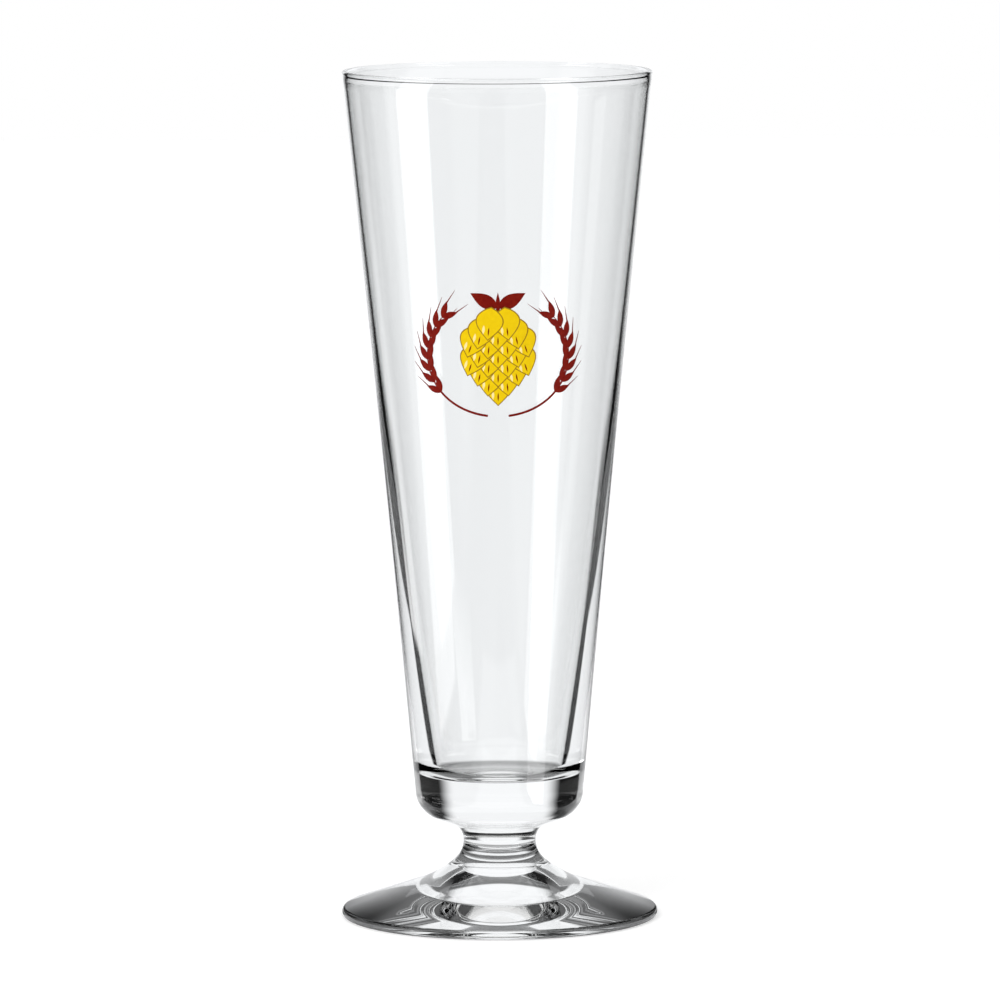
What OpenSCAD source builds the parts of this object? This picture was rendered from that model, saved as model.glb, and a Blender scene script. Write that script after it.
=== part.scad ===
// Footed pilsner glass: a tall flared bowl fused to a short stem and a hollow-ground foot,
// with a fired enamel emblem in four colours on the front of the bowl.
// Millimetres. The origin is the centre of the ring that stands on the table, +Z is up,
// and the emblem faces -Y.

/* [Bowl] */
// Height of the whole glass, table to rim
glass_h = 220; // [200:1:240]
// Outer diameter over the rounded rim
rim_d = 80; // [72:0.5:88]
// How far the rounded rim stands out from the outer wall
rim_bulge_out = 0.15; // [0.05:0.01:0.3]
// How far the rounded rim stands out from the inner wall
rim_bulge_in = 0.35; // [0.1:0.01:0.5]
// Outer diameter where the wall line meets the underside line of the bowl
bowl_base_d = 42.7; // [38:0.1:48]
// How far the outer wall bows in from a straight taper at half its height
wall_flare = 0.35; // [0:0.05:0.8]
// Thickness of the wall at the rim
wall_rim = 0.85; // [0.7:0.05:1.3]
// Thickness that the wall reaches at the level of the bowl's floor
wall_floor = 6; // [4:0.1:7]
// Power by which the wall thickens downwards
wall_power = 2.4; // [1.5:0.1:3.5]
// Height of solid glass between the stem's top line and the floor of the bowl
base_block_h = 14.1; // [11:0.1:18]
// Radius between the bowl's floor and its inner wall
floor_corner_r = 5; // [3:0.1:6]
// Angle of the bowl's underside above the horizontal, in degrees
underside_angle = 21.6; // [15:0.1:28]
// Radius between the bowl's underside and its outer wall
bowl_base_r = 7.3; // [4:0.1:8]

/* [Stem] */
// Diameter of the stem at its waist
neck_d = 18.8; // [15:0.1:22]
// Height of the stem's line, from the foot's flank line to the bowl's underside line
neck_h = 6.5; // [5.6:0.1:9]
// Radius between the stem and the bowl's underside
neck_top_r = 4.4; // [3:0.1:4.8]
// Length of the stem's line that stays straight between its two rounded ends
neck_straight = 0.1; // [0.1:0.05:1]
// How far the fused joint with the bowl lies above the stem's straight line
bowl_joint_rise = 0.1; // [0:0.05:1]
// How far the fused joint with the foot lies below the stem's straight line
foot_joint_drop = 2.5; // [1.5:0.1:4]

/* [Foot] */
// Outer diameter of the foot
foot_d = 82; // [74:0.1:90]
// Height of the foot's upright edge before it is rounded
foot_edge_h = 2.1; // [1.8:0.05:3]
// Radius of the edge at the table
foot_edge_low_r = 1; // [0.5:0.05:1.2]
// Radius of the edge at the top
foot_edge_top_r = 1.2; // [0.6:0.05:1.6]
// Diameter where the shallow top of the foot turns into the steeper flank
foot_knee_d = 34; // [30:0.5:38]
// Rise of the foot's shallow top from the edge to that turn
foot_rise = 8.4; // [7:0.1:10]
// Radius that blends the shallow top into the flank
foot_knee_r = 31; // [20:0.5:36]
// Rise of the flank from that turn to the stem
flank_rise = 5.9; // [5:0.1:7.5]

/* [Underside] */
// Width of the flat ring that stands on the table
bearing_w = 9.8; // [6:0.1:12]
// Rise of the almost flat underside from that ring to the recess in its middle
underside_rise = 0.75; // [0.3:0.05:1.2]
// Height of the recess's flat roof
recess_h = 8.2; // [6:0.1:9]
// Diameter of the recess at its mouth
recess_mouth_d = 38.4; // [35:0.2:44]
// Diameter of the recess where its steep side turns shallower
recess_bend_d = 31.2; // [26:0.2:33]
// Height of that turn
recess_bend_h = 2.1; // [1.6:0.1:3.5]
// Diameter of the recess at its roof
recess_roof_d = 14.4; // [9:0.2:17]
// Radius at the recess's mouth
recess_mouth_r = 4.5; // [1:0.5:6]
// Radius where the side turns shallower
recess_bend_r = 9.5; // [2:0.5:10]
// Radius at the recess's roof
recess_roof_r = 0.4; // [0.3:0.1:2]

/* [Emblem] */
// Height of the emblem's middle above the table
emblem_z = 149; // [130:1:165]
// Thickness of one fired layer of enamel
enamel_t = 0.08; // [0.05:0.01:0.12]
// Height of the hop cone
cone_h = 25; // [20:0.5:28]
// Width of the hop cone
cone_w = 17; // [14:0.5:19]
// Length of one scale of the hop cone
scale_l = 8.2; // [7:0.1:9.5]
// Width of one scale of the hop cone
scale_w = 6.6; // [5.5:0.1:7.5]
// Width of the line left round each yellow scale
keyline_w = 0.3; // [0.2:0.05:0.5]
// Half the width of the wreath, to the middle line of an ear
wreath_w = 19; // [17:0.5:21]
// Half the height of the wreath, to the middle line of an ear
wreath_h = 15.5; // [13:0.5:17]
// Length of one barley grain
grain_l = 4.6; // [3.6:0.1:5.2]
// Width of one barley grain
grain_w = 1.7; // [1.3:0.1:2.1]
// Length of one beard above its grain
beard_l = 4.2; // [3:0.1:6]
// Width of one beard at its root
beard_w = 0.36; // [0.3:0.02:0.5]
// Width of a stalk
stalk_w = 0.6; // [0.4:0.05:0.9]
// How far the outermost scales turn away from straight down, in degrees
scale_splay = 30; // [15:1:40]
// Angle between a grain and the ear's middle line, in degrees
grain_lean = 26; // [18:1:34]
// Length of a leaf at the top of the hop cone
leaf_l = 8; // [6:0.1:10]
// Width of that leaf
leaf_w = 3.6; // [2.6:0.1:4.4]
// Angle of that leaf from upright, in degrees
leaf_lean = 62; // [45:1:75]
// Length of the stalk above the hop cone
hop_stalk_l = 4; // [2:0.1:6]
// Width of the light stroke on a scale
glint_w = 0.7; // [0.4:0.05:1]
// Width of the dark middle line on a scale
vein_w = 0.4; // [0.25:0.05:0.6]

/* [Hidden] */
$fn = 96;
// Straight steps in a rounded corner, in the tall wall and in a printed leaf
corner_steps = 8;
wall_steps = 16;
leaf_steps = 6;
rim_steps = 6;
stalk_turn_step = 5;
// Shares of a scale's length and width, and of a grain's and a leaf's length
scale_full_share = 0.42;
glint_start_share = 0.55;
glint_length_share = 0.3;
glint_side_share = -0.2;
vein_start_share = 0.6;
vein_length_share = 0.3;
grain_full_share = 0.45;
leaf_full_share = 0.42;
beard_root_share = 0.85;
beard_swing_share = 0.6;
glass_colour = [0.88, 0.93, 0.92, 0.45];
glass_colour_2 = [0.80, 0.88, 0.88, 0.55];

// Heights that follow from the sizes above
knee_z = foot_edge_h + foot_rise;
root_z = knee_z + flank_rise;
underside_z = root_z + neck_h;
floor_z = underside_z + base_block_h;
foot_joint_z = root_z - foot_joint_drop;
bowl_joint_z = underside_z + bowl_joint_rise;

// Radii that follow from the sizes above
rim_r = rim_d / 2;
neck_r = neck_d / 2;
foot_r = foot_d / 2;
base_r = bowl_base_d / 2;
bearing_r = foot_r - foot_edge_low_r;
bead_r = (wall_rim + rim_bulge_out + rim_bulge_in) / 2;
bead_z = glass_h - bead_r;

// The outer wall runs from the unrounded base corner to the bead
wall_low = [base_r, underside_z + (base_r - neck_r) * tan(underside_angle)];
bead_out_angle = acos(1 - rim_bulge_out / bead_r);
bead_in_angle = acos(1 - rim_bulge_in / bead_r);
wall_high = [rim_r - rim_bulge_out, bead_z - bead_r * sin(bead_out_angle)];

function unit(v) = v / norm(v);

// An arc of the given radius that rounds the corner b between a and c
function rounded(a, b, c, radius) =
    let (u = unit(a - b), v = unit(c - b), half = acos(u * v) / 2,
         centre = b + unit(u + v) * radius / sin(half),
         first = b + u * radius / tan(half) - centre,
         last = b + v * radius / tan(half) - centre,
         start = atan2(first.y, first.x),
         turn = atan2(first.x * last.y - first.y * last.x, first * last))
    [for (i = [0 : corner_steps])
        centre + radius * [cos(start + turn * i / corner_steps), sin(start + turn * i / corner_steps)]];

// Outer and inner radius of the bowl at a height
function wall_out(z) =
    let (t = (z - wall_low.y) / (wall_high.y - wall_low.y))
    wall_low.x + (wall_high.x - wall_low.x) * t - 4 * wall_flare * t * (1 - t);
function wall_in(z) =
    let (s = (wall_high.y - z) / (wall_high.y - floor_z))
    wall_out(z) - wall_rim - (wall_floor - wall_rim) * pow(max(s, 0), wall_power);

// The stem's lower round takes what its upper round and the straight part leave of its line
neck_top_take = neck_top_r / tan((90 + underside_angle) / 2);
flank_angle = atan2(flank_rise, foot_knee_d / 2 - neck_r);
neck_low_r = (neck_h - neck_straight - neck_top_take) * tan((90 + flank_angle) / 2);

// Corners of the outside, from the table up to the bowl's wall
edge_low = [foot_r, 0];
edge_top = [foot_r, foot_edge_h];
knee = [foot_knee_d / 2, knee_z];
neck_low = [neck_r, root_z];
neck_high = [neck_r, underside_z];
bearing_in = [bearing_r - bearing_w, 0];
wall_above = [wall_out(floor_z), floor_z];

edge_line = concat(
    rounded(bearing_in, edge_low, edge_top, foot_edge_low_r),
    rounded(edge_low, edge_top, knee, foot_edge_top_r));
flank_line = concat(
    rounded(edge_top, knee, neck_low, foot_knee_r),
    rounded(knee, neck_low, neck_high, neck_low_r));
base_line = concat(
    rounded(neck_low, neck_high, wall_low, neck_top_r),
    rounded(neck_high, wall_low, wall_above, bowl_base_r));
wall_start_z = base_line[len(base_line) - 1].y;
wall_line = [for (i = [1 : wall_steps])
    let (z = wall_start_z + (wall_high.y - wall_start_z) * i / wall_steps) [wall_out(z), z]];
outside = concat(edge_line, flank_line, base_line, wall_line);

// Radius of the outside at a height, read off the drawn line
outside_by_z = [for (p = concat(flank_line, base_line, wall_line)) [p.y, p.x]];
function outside_r(z) = lookup(z, outside_by_z);

// The points of the outside between two heights, with both ends on the line
function outside_between(low, high) = concat(
    [[outside_r(low), low]],
    [for (p = outside) if (p.y > low && p.y < high) p],
    [[outside_r(high), high]]);

// The bead of the rim, from the outer wall over the top to the inner wall
rim_angles = concat(
    [for (i = [1 : rim_steps]) -bead_out_angle + (90 + bead_out_angle) * i / rim_steps],
    [for (i = [1 : rim_steps]) 90 + (90 + bead_in_angle) * i / rim_steps]);
rim_line = [for (a = rim_angles) [rim_r - bead_r, bead_z] + bead_r * [cos(a), sin(a)]];

// The inside of the bowl, from the bead down to the middle of its floor
inner_corner = [wall_in(floor_z), floor_z];
inner_above = [wall_in(floor_z + floor_corner_r), floor_z + floor_corner_r];
floor_line = rounded(inner_above, inner_corner, [0, floor_z], floor_corner_r);
inner_high_z = rim_line[len(rim_line) - 1].y;
inner_low_z = floor_line[0].y;
inner_line = concat(
    [for (i = [1 : wall_steps - 1])
        let (z = inner_high_z + (inner_low_z - inner_high_z) * i / wall_steps) [wall_in(z), z]],
    floor_line, [[0, floor_z]]);

// The underside of the foot, from the middle of the recess out to the ring that stands
recess_edge = [recess_roof_d / 2, recess_h];
recess_bend = [recess_bend_d / 2, recess_bend_h];
recess_mouth = [recess_mouth_d / 2, underside_rise];
underside_line = concat(
    [[0, recess_h]],
    rounded([0, recess_h], recess_edge, recess_bend, recess_roof_r),
    rounded(recess_edge, recess_bend, recess_mouth, recess_bend_r),
    rounded(recess_bend, recess_mouth, bearing_in, recess_mouth_r),
    [bearing_in]);

module bowl() {
    color(glass_colour)
    rotate_extrude()
    polygon(concat(
        [[0, bowl_joint_z]], outside_between(bowl_joint_z, wall_high.y), rim_line, inner_line));
}

module stem() {
    color(glass_colour_2)
    rotate_extrude()
    polygon(concat(
        [[0, foot_joint_z]], outside_between(foot_joint_z, bowl_joint_z), [[0, bowl_joint_z]]));
}

module foot() {
    color(glass_colour)
    rotate_extrude()
    polygon(concat(
        underside_line, edge_line,
        [for (p = flank_line) if (p.y < foot_joint_z) p],
        [[outside_r(foot_joint_z), foot_joint_z], [0, foot_joint_z]]));
}

// A drawing laid round the bowl: x runs along the wall, y is the height above the emblem's middle
function laid(p) =
    let (r = outside_r(emblem_z + p.y)) [r * sin(p.x / r * 180 / PI), emblem_z + p.y];

// A closed band of the bowl's outside, raised by two distances, to print on
module wall_band(from, to) {
    low = emblem_z - 2 * wreath_h;
    high = emblem_z + 2 * wreath_h;
    line = outside_between(low, high);
    rotate_extrude()
    polygon(concat(
        [for (p = line) p + [from, 0]],
        [for (i = [len(line) - 1 : -1 : 0]) line[i] + [to, 0]]));
}

// One layer of enamel: the drawing given as children, at layer 0, 1 or 2 on the wall
module enamel(layer) {
    intersection() {
        wall_band(layer * enamel_t, (layer + 1) * enamel_t);
        rotate([90, 0, 0]) linear_extrude(height = rim_d) children();
    }
}

// A leaf outline from its root to its tip, fullest at a share of its length
function leaf(root, heading, length, width, full_share) =
    let (along = [cos(heading), sin(heading)], across = [-sin(heading), cos(heading)],
         bend = ln(0.5) / ln(full_share))
    [for (i = [0 : 2 * leaf_steps - 1])
        let (side = i <= leaf_steps ? 1 : -1,
             t = side > 0 ? i / leaf_steps : 2 - i / leaf_steps)
        root + along * length * t + across * side * width / 2 * sin(180 * pow(t, bend))];

module shape(points) {
    polygon([for (p = points) laid(p)]);
}

// The hop cone hangs tip down. Each row holds so many scales, from the tip row to the top row,
// and a row lies over the rows below it.
row_counts = [1, 2, 3, 4, 3, 4, 3, 2];
last_row = len(row_counts) - 1;
row_pitch = (cone_h - scale_l) / last_row;
scale_pitch = (cone_w - scale_w) / (max(row_counts) - 1);

function scale_root(row, place) =
    [scale_pitch * (place - (row_counts[row] - 1) / 2), row * row_pitch + scale_l - cone_h / 2];
function scale_heading(row, place) = -90 + scale_splay * scale_root(row, place).x / (cone_w / 2);
function scale_along(row, place) =
    [cos(scale_heading(row, place)), sin(scale_heading(row, place))];
function hop_scale(row, place, grow) =
    leaf(scale_root(row, place) - grow * scale_along(row, place), scale_heading(row, place),
         scale_l + 2 * grow, scale_w + 2 * grow, scale_full_share);

module hop_rows(from_row, grow) {
    for (row = [from_row : 1 : last_row])
        for (place = [0 : row_counts[row] - 1])
            shape(hop_scale(row, place, grow));
}

// The first colour down: the whole hop cone, which shows as shade and lines between the scales
module print_ochre() {
    color([0.66, 0.57, 0.23])
    enamel(0) hop_rows(0, keyline_w);
}

// The yellow of the scales, each cut back where the rows above lie over it
module print_yellow() {
    color([0.94, 0.80, 0.02])
    enamel(1)
        for (row = [0 : last_row])
            difference() {
                for (place = [0 : row_counts[row] - 1])
                    difference() {
                        shape(hop_scale(row, place, 0));
                        if (place > 0) shape(hop_scale(row, place - 1, keyline_w));
                    }
                hop_rows(row + 1, keyline_w);
            }
}

// A short stroke on a scale: its start and length as shares of the scale, and its sideways place
function stroke(row, place, start_share, length_share, side_share, width) =
    let (along = scale_along(row, place), across = [along.y, -along.x])
    leaf(scale_root(row, place) + along * scale_l * start_share + across * scale_w * side_share,
         scale_heading(row, place), scale_l * length_share, width, 0.5);

// Light caught by the left side of each scale
module print_cream() {
    color([0.98, 0.90, 0.63])
    enamel(2)
        for (row = [0 : last_row])
            for (place = [0 : row_counts[row] - 1])
                shape(stroke(row, place, glint_start_share, glint_length_share, glint_side_share, glint_w));
}

// The middle line of an ear of barley, on either side of the cone
function wreath(turn, side) = [side * wreath_w * cos(turn), wreath_h * sin(turn)];
function wreath_heading(turn, side) = atan2(wreath_h * cos(turn), -side * wreath_w * sin(turn));
stalk_turn = -82;
ear_turn = -38;
tip_turn = 39;
grain_turn = 11;

module barley(side) {
    for (turn = [ear_turn : grain_turn : tip_turn])
        for (lean = [-grain_lean, grain_lean])
            let (heading = wreath_heading(turn, side) + lean,
                 root = wreath(turn, side),
                 tip = root + grain_l * beard_root_share * [cos(heading), sin(heading)],
                 swing = heading - lean * beard_swing_share,
                 across = [-sin(swing), cos(swing)] * beard_w / 2) {
                shape(leaf(root, heading, grain_l, grain_w, grain_full_share));
                shape([tip + across, tip - across, tip + beard_l * [cos(swing), sin(swing)]]);
            }
    stalk_turns = [for (turn = [stalk_turn : stalk_turn_step : tip_turn]) turn];
    last_turn = len(stalk_turns) - 1;
    shape(concat(
        [for (turn = stalk_turns) wreath(turn, side) + stalk_w / 2 * [side * cos(turn), sin(turn)]],
        [for (i = [last_turn : -1 : 0])
            wreath(stalk_turns[i], side) - stalk_w / 2 * [side * cos(stalk_turns[i]), sin(stalk_turns[i])]]));
}

// The two leaves and the stalk that the hop cone hangs by
module hop_top() {
    difference() {
        union() {
            for (side = [-1, 1])
                shape(leaf([0, cone_h / 2], 90 - side * leaf_lean, leaf_l, leaf_w, leaf_full_share));
            shape(leaf([0, cone_h / 2 - row_pitch], 90, row_pitch + hop_stalk_l, stalk_w * 2, 0.5));
        }
        hop_rows(0, 2 * keyline_w);
    }
}

module print_maroon() {
    color([0.47, 0.09, 0.03])
    union() {
        enamel(0) {
            barley(1);
            barley(-1);
            hop_top();
        }
        enamel(2)
            for (row = [0 : last_row])
                for (place = [0 : row_counts[row] - 1])
                    shape(stroke(row, place, vein_start_share, vein_length_share, 0, vein_w));
    }
}

bowl();
stem();
foot();
print_ochre();
print_yellow();
print_cream();
print_maroon();
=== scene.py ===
# The footed pilsner glass, dressed: three pieces of clear glass fused into one, and the fired
# enamel emblem on its front. Metres. +Z is up and the emblem faces -Y.
import math
import bmesh
import bpy
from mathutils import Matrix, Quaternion, Vector


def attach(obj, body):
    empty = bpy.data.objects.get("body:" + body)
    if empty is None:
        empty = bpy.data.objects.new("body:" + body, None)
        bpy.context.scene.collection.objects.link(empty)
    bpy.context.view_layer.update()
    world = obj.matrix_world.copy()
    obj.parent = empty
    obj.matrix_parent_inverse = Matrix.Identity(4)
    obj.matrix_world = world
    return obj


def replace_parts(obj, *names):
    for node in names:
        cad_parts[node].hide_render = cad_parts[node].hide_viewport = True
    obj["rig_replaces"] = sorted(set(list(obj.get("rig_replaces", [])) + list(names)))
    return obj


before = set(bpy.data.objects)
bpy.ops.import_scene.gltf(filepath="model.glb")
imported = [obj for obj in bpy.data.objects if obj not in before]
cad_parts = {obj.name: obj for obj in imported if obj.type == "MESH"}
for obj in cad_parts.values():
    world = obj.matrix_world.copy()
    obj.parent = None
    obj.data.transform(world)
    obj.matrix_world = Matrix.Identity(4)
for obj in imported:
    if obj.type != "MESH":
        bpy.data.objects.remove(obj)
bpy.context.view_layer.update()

# Sizes of the glass, in metres, as in the part's source
GLASS_H = 0.220
RIM_R = 0.0400
RIM_BULGE_OUT = 0.00015
RIM_BULGE_IN = 0.00035
BASE_R = 0.02135
WALL_BOW = 0.00035
WALL_RIM = 0.00085
WALL_FLOOR = 0.006
WALL_POWER = 2.4
BASE_BLOCK_H = 0.0141
FLOOR_CORNER_R = 0.005
UNDERSIDE_SLOPE = math.tan(math.radians(21.6))
BOWL_BASE_R = 0.0073
NECK_R = 0.0094
NECK_H = 0.0065
NECK_TOP_R = 0.0044
NECK_STRAIGHT = 0.0001
BOWL_JOINT_RISE = 0.0001
FOOT_JOINT_DROP = 0.0025
FOOT_R = 0.041
FOOT_EDGE_H = 0.0021
FOOT_EDGE_LOW_R = 0.001
FOOT_EDGE_TOP_R = 0.0012
FOOT_KNEE_R_FROM_AXIS = 0.017
FOOT_RISE = 0.0084
FOOT_KNEE_ROUND = 0.031
FLANK_RISE = 0.0059
BEARING_W = 0.0098
UNDERSIDE_RISE = 0.00075
RECESS_H = 0.0082
RECESS_MOUTH_R = 0.0192
RECESS_BEND_R = 0.0156
RECESS_BEND_H = 0.0021
RECESS_ROOF_R = 0.0072
RECESS_MOUTH_ROUND = 0.0045
RECESS_BEND_ROUND = 0.0095
RECESS_ROOF_ROUND = 0.0004

# Sizes of the emblem
EMBLEM_Z = 0.149
CONE_H = 0.025
CONE_W = 0.017
SCALE_L = 0.0082
SCALE_W = 0.0066
SCALE_FULL = 0.42
KEYLINE_W = 0.0003
WREATH_W = 0.019
WREATH_H = 0.0155
GRAIN_L = 0.0046
GRAIN_W = 0.0017
GRAIN_FULL = 0.45
BEARD_L = 0.0042
BEARD_W = 0.00036
STALK_W = 0.0006
SCALE_SPLAY = math.radians(30)
GRAIN_LEAN = math.radians(26)
LEAF_L = 0.008
LEAF_W = 0.0036
LEAF_FULL = 0.42
LEAF_LEAN = math.radians(62)
HOP_STALK_L = 0.004
GLINT_W = 0.0007
VEIN_W = 0.0004
SCALES_IN_ROW = [1, 2, 3, 4, 3, 4, 3, 2]
# Strokes on a scale: length, and place along and across it, as shares of the scale's own sizes
STROKE_SHARE = 0.3
GLINT_AT = 0.55
GLINT_ASIDE = 0.2
VEIN_AT = 0.6
# An ear of barley, in degrees round the wreath from its right-hand side
GRAIN_PAIRS = 8
FIRST_PAIR = -38
PAIR_STEP = 11
STALK_FROM = -82
STALK_TO = 39
STALK_STEPS = 24
STALK_TAPER = 0.6
# A beard: where on its grain it starts, its share of the grain's lean, and half its tip's width
BEARD_AT = 0.85
BEARD_LEAN = 0.4
BEARD_TIP = BEARD_W / 9

# How finely the pieces are made
STEPS_AROUND = 256
CORNER_STEPS = 16
RIM_STEPS = 14
WALL_STEPS = 48
SCALE_STEPS = 12
STROKE_STEPS = 6
MERGE = 1e-7
CELL = 0.0007
GLASS_CREASE = math.radians(40)
ENAMEL_CREASE = math.radians(60)

# The layers of enamel: how far they are sunk and raised, and how their edges are rounded
ENAMEL_SUNK = 0.00002
ENAMEL_T = 0.00005
SCALE_STEP = 0.000012
LAYER_LOW = ENAMEL_T / 2
YELLOW_TOP = ENAMEL_T + SCALE_STEP * 0.5
STROKE_TOP = ENAMEL_T + SCALE_STEP * 0.8
BEARD_T = ENAMEL_T * 0.8
STALK_T = ENAMEL_T * 0.9
ENAMEL_ROUND = 0.00006
EDGE_ROUND = ENAMEL_ROUND * 0.7
STROKE_ROUND = ENAMEL_ROUND * 0.5
BEARD_ROUND = ENAMEL_ROUND * 0.3

# The glass's and the enamel's surfaces
GLASS_IOR = 1.5
GLASS_TINT = (0.998, 1.0, 0.999, 1)
GLASS_DEEPER_TINT = (0.988, 0.996, 0.993, 1)
RIPPLE_STRENGTH = 0.02
RIPPLE_H = 0.0004
ENAMEL_IOR = 1.5
ENAMEL_SHINE = 0.08
ENAMEL_GLOSS_SPAN = 0.18
MESH_STRENGTH = 0.25
MESH_H = 0.00002
# The four inks: colour, colour where it lies thin, and roughness
INKS = {
    "ochre": ((0.28, 0.155, 0.006), (0.33, 0.2, 0.015), 0.3),
    "yellow": ((0.73, 0.49, 0.0), (0.78, 0.55, 0.001), 0.26),
    "cream": ((0.86, 0.69, 0.27), (0.9, 0.76, 0.4), 0.28),
    "maroon": ((0.15, 0.002, 0.0), (0.2, 0.008, 0.001), 0.3),
}

# What stands round the table, each covering what comes before it:
# name, azimuth, half width, side softness, lowest, highest, brightness
STANDING = [
    ("overhead", 0, 180, 1, 46, 90, 0.8),
    ("camera side", 180, 34, 12, -90, 50, 0.35),
    ("left wall above", -114, 13, 6, -2, 45, 0.5),
    ("right wall above", 122, 13, 6, -2, 45, 0.5),
    ("left haze", -100, 10, 9, -60, -6, 0.8),
    ("left softbox", -110.5, 13, 2, -60, -6, 3.0),
    ("right haze", 120, 9, 8, -60, -6, 0.6),
    ("right softbox", 129, 12, 2, -60, -6, 3.0),
]
SEEN_THROUGH = STANDING + [
    ("left glow", -76, 12, 6, -2, 12, 0.35),
    ("right glow", 76, 12, 6, -2, 12, 0.35),
    ("behind, seen from the left", -50, 8, 3, -32, -12, 0.75),
    ("behind, seen from the side", -90, 5, 2, -9, 4, 1.0),
    ("behind, seen from the back", 135, 5, 2, -21, -9, 1.0),
    ("over the camera", 180, 70, 20, 14, 60, 0.9),
]
# The level where nothing stands, the even level that the enamel and the floor are lit by, and the
# tone of what glows on the table and the card
ROOM_LEVEL = 0.008
PLAIN_LEVEL = 0.8
COOL_WHITE = (0.975, 0.985, 1.0, 1)
FLOOR_TONE = (0.85, 0.85, 0.85, 1)
FLOOR_ROUGHNESS = 0.9
FLOOR_GLOW = 0.35
FLOOR_HALF = 3.0
FLOOR_DROP = 0.0001
# The sheet on the table, which is nowhere narrower than a disk of SHEET_NEAR round the foot, the
# black table, whose near right corner is cut away, and the card behind the glass
SHEET_HALF = 0.052
SHEET_SPREAD = 0.634
SHEET_NEAR = 0.05
SHEET_EDGE = 0.012
SHEET_WIDEST = 0.19
SHEET_FRONT = -0.15
CORNER_X = 0.075
CORNER_Y = -0.03
# Painted shade on the floor as only the glass sees it: under the foot, and close behind it fading out
PAINTED_SHADE_W = 0.022
PAINTED_SHADE_LEVEL = 0.17
# A painted pool of light in the middle under the foot; round it, out to the foot's edge, the painted
# shade
PAINTED_LIGHT_R = 0.0115
PAINTED_LIGHT_FADE = 0.004
TABLE_HALF = 0.186
CARD_BACK = 0.15
CARD_HALF = 0.085
CARD_FADE = 0.035
CARD_WIDER = 0.017
CARD_TOP = 0.38
CARD_WIDENS_FROM = 0.09
CARD_WIDENS_TO = 0.13
CARD_CORNER_H = 0.03
CARD_CORNER_CUT = 0.6
TABLE_EDGE_HALF = 0.01

# The key lamp and the camera
KEY_SPOT = (-0.9, -1.3, 1.2)
KEY_AIM = (0, 0, 0.1)
KEY_SIZE = 0.9
KEY_POWER = 12
CAMERA_SPOT = (0, -2.0416, 0.3399)
CAMERA_AIM = (0, 0, 0.110)
CAMERA_ROLL = math.radians(-0.184)
CAMERA_LENS = 285.57
CAMERA_SENSOR = 36
CAMERA_SEES_TO = 50
CAMERA_SHIFT_X = 0.0015
CAMERA_SHIFT_Y = -0.00553


# The outline of the glass

def rounded(before, corner, after, radius, steps=CORNER_STEPS):
    """An arc that rounds a corner between two neighbours, as points from the first to the last."""
    a, b, c = Vector(before), Vector(corner), Vector(after)
    to_a, to_c = (a - b).normalized(), (c - b).normalized()
    half = to_a.angle(to_c) / 2
    centre = b + (to_a + to_c).normalized() * (radius / math.sin(half))
    first = b + to_a * (radius / math.tan(half)) - centre
    last = b + to_c * (radius / math.tan(half)) - centre
    start = math.atan2(first.y, first.x)
    turn = math.atan2(first.x * last.y - first.y * last.x, first.dot(last))
    angles = [start + turn * i / steps for i in range(steps + 1)]
    return [(centre.x + radius * math.cos(t), centre.y + radius * math.sin(t)) for t in angles]


def heights():
    """The heights that follow from the sizes."""
    knee = FOOT_EDGE_H + FOOT_RISE
    root = knee + FLANK_RISE
    underside = root + NECK_H
    return {
        "knee": knee, "root": root, "underside": underside,
        "floor": underside + BASE_BLOCK_H,
        "foot joint": root - FOOT_JOINT_DROP,
        "bowl joint": underside + BOWL_JOINT_RISE,
    }


def bead():
    """The rounded rim: its radius, its middle's height, and how far it wraps on each side."""
    radius = (WALL_RIM + RIM_BULGE_OUT + RIM_BULGE_IN) / 2
    return {
        "radius": radius, "z": GLASS_H - radius,
        "out": math.acos(1 - RIM_BULGE_OUT / radius),
        "in": math.acos(1 - RIM_BULGE_IN / radius),
    }


def wall_ends():
    """The two ends of the outer wall line, below and at the bead."""
    rim = bead()
    low = (BASE_R, heights()["underside"] + (BASE_R - NECK_R) * UNDERSIDE_SLOPE)
    high = (RIM_R - RIM_BULGE_OUT, rim["z"] - rim["radius"] * math.sin(rim["out"]))
    return low, high


def wall_out(z):
    """Radius of the outer wall at a height."""
    low, high = wall_ends()
    t = (z - low[1]) / (high[1] - low[1])
    return low[0] + (high[0] - low[0]) * t - 4 * WALL_BOW * t * (1 - t)


def wall_in(z):
    """Radius of the inner wall at a height: the wall thickens towards the floor."""
    high = wall_ends()[1]
    s = max((high[1] - z) / (high[1] - heights()["floor"]), 0)
    return wall_out(z) - WALL_RIM - (WALL_FLOOR - WALL_RIM) * s ** WALL_POWER


def foot_edge_line():
    """The foot's outer edge, from the table to its shallow top."""
    inner, low = (FOOT_R - FOOT_EDGE_LOW_R - BEARING_W, 0), (FOOT_R, 0)
    top, knee = (FOOT_R, FOOT_EDGE_H), (FOOT_KNEE_R_FROM_AXIS, heights()["knee"])
    return (rounded(inner, low, top, FOOT_EDGE_LOW_R)
            + rounded(low, top, knee, FOOT_EDGE_TOP_R))


def neck_low_r():
    """The stem's lower round takes what its upper round and the straight part leave of its line."""
    top_take = NECK_TOP_R / math.tan((math.pi / 2 + math.atan(UNDERSIDE_SLOPE)) / 2)
    flank = math.atan2(FLANK_RISE, FOOT_KNEE_R_FROM_AXIS - NECK_R)
    return (NECK_H - NECK_STRAIGHT - top_take) * math.tan((math.pi / 2 + flank) / 2)


def flank_line():
    """The foot's top and flank, up to the stem."""
    z = heights()
    top, knee = (FOOT_R, FOOT_EDGE_H), (FOOT_KNEE_R_FROM_AXIS, z["knee"])
    root, neck = (NECK_R, z["root"]), (NECK_R, z["underside"])
    return (rounded(top, knee, root, FOOT_KNEE_ROUND)
            + rounded(knee, root, neck, neck_low_r()))


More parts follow.
